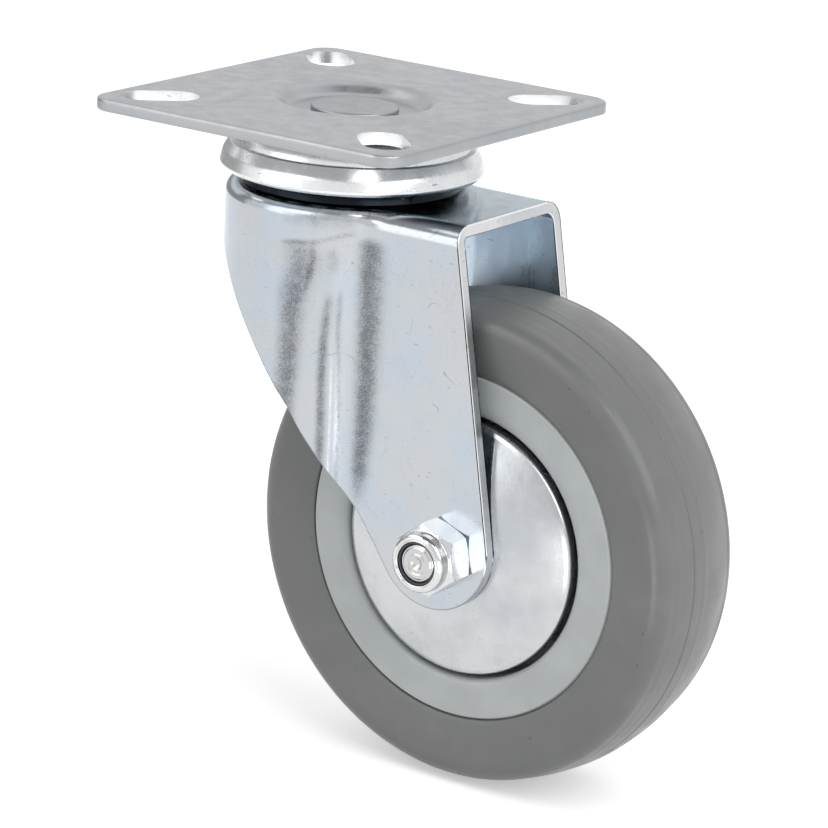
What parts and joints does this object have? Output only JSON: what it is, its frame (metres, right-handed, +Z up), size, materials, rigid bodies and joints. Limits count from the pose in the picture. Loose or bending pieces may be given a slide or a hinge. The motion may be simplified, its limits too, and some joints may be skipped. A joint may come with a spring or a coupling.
{
  "type": "swivel castor",
  "caption": "Swivel castor with a slotted top plate, ball-bearing head, pressed zinc-plated fork and a grey rubber wheel on ball bearings with thread guards.",
  "frame": {"origin": "on the swivel axis, in the plane of the plate's top face, where the castor is bolted on", "axes": "+Z up along the swivel axis, +X from the swivel axis towards the wheel (the trail), +Y along the wheel axle away from the lock nut"},
  "size_m": [0.126, 0.0794, 0.1328],
  "materials": {
    "zinc_sheet": "zinc plated, satin",
    "zinc_pin": "zinc plated, dull",
    "zinc_fastener": "zinc plated, bright",
    "bright_zinc": "bright zinc",
    "bearing_steel": "ground steel",
    "insert_plastic": "dark nylon",
    "rim_plastic": "satin polypropylene",
    "grey_rubber": "matt grey rubber"
  },
  "bodies": {
    "top_plate": {"mounting_plate": "zinc_sheet", "king_pin": "zinc_pin", "upper_race_cup": "zinc_sheet", "lower_race_cup": "zinc_sheet"},
    "upper_ball_row": {"upper_balls": "bearing_steel"},
    "lower_ball_row": {"lower_balls": "bearing_steel"},
    "swivel_fork": {"fork": "zinc_sheet", "axle_bolt": "zinc_fastener", "lock_nut": "zinc_fastener", "nut_insert": "insert_plastic", "thread_guard_near": "bright_zinc", "thread_guard_far": "bright_zinc", "spacer_washer_near": "zinc_fastener", "spacer_washer_far": "zinc_fastener", "axle_sleeve": "zinc_fastener", "bearing_inner_ring_near": "bearing_steel", "bearing_inner_ring_far": "bearing_steel"},
    "axle_ball_rows": {"bearing_balls": "bearing_steel", "ball_cages": "bearing_steel"},
    "wheel": {"tyre": "grey_rubber", "wheel_rim": "rim_plastic", "bearing_outer_ring_near": "bearing_steel", "bearing_outer_ring_far": "bearing_steel", "bearing_shields": "bearing_steel"}
  },
  "joints": [
    {"name": "swivel", "type": "hinge", "parent": "top_plate", "child": "swivel_fork", "pos_m": [0, 0, 0], "axis": [0, 0, 1], "continuous": true},
    {"name": "upper_row_orbit", "type": "hinge", "parent": "top_plate", "child": "upper_ball_row", "pos_m": [0, 0, 0], "axis": [0, 0, 1], "continuous": true},
    {"name": "lower_row_orbit", "type": "hinge", "parent": "top_plate", "child": "lower_ball_row", "pos_m": [0, 0, 0], "axis": [0, 0, 1], "continuous": true},
    {"name": "wheel_spin", "type": "hinge", "parent": "swivel_fork", "child": "wheel", "pos_m": [0.03915, 0, -0.0828], "axis": [0, 1, 0], "continuous": true},
    {"name": "axle_rows_orbit", "type": "hinge", "parent": "swivel_fork", "child": "axle_ball_rows", "pos_m": [0.03915, 0, -0.0828], "axis": [0, 1, 0], "continuous": true}
  ],
  "couplings": [
    {"joint": "upper_row_orbit", "follows": "swivel", "ratio": 0.5},
    {"joint": "lower_row_orbit", "follows": "swivel", "ratio": 0.5},
    {"joint": "axle_rows_orbit", "follows": "wheel_spin", "ratio": 0.632}
  ]
}
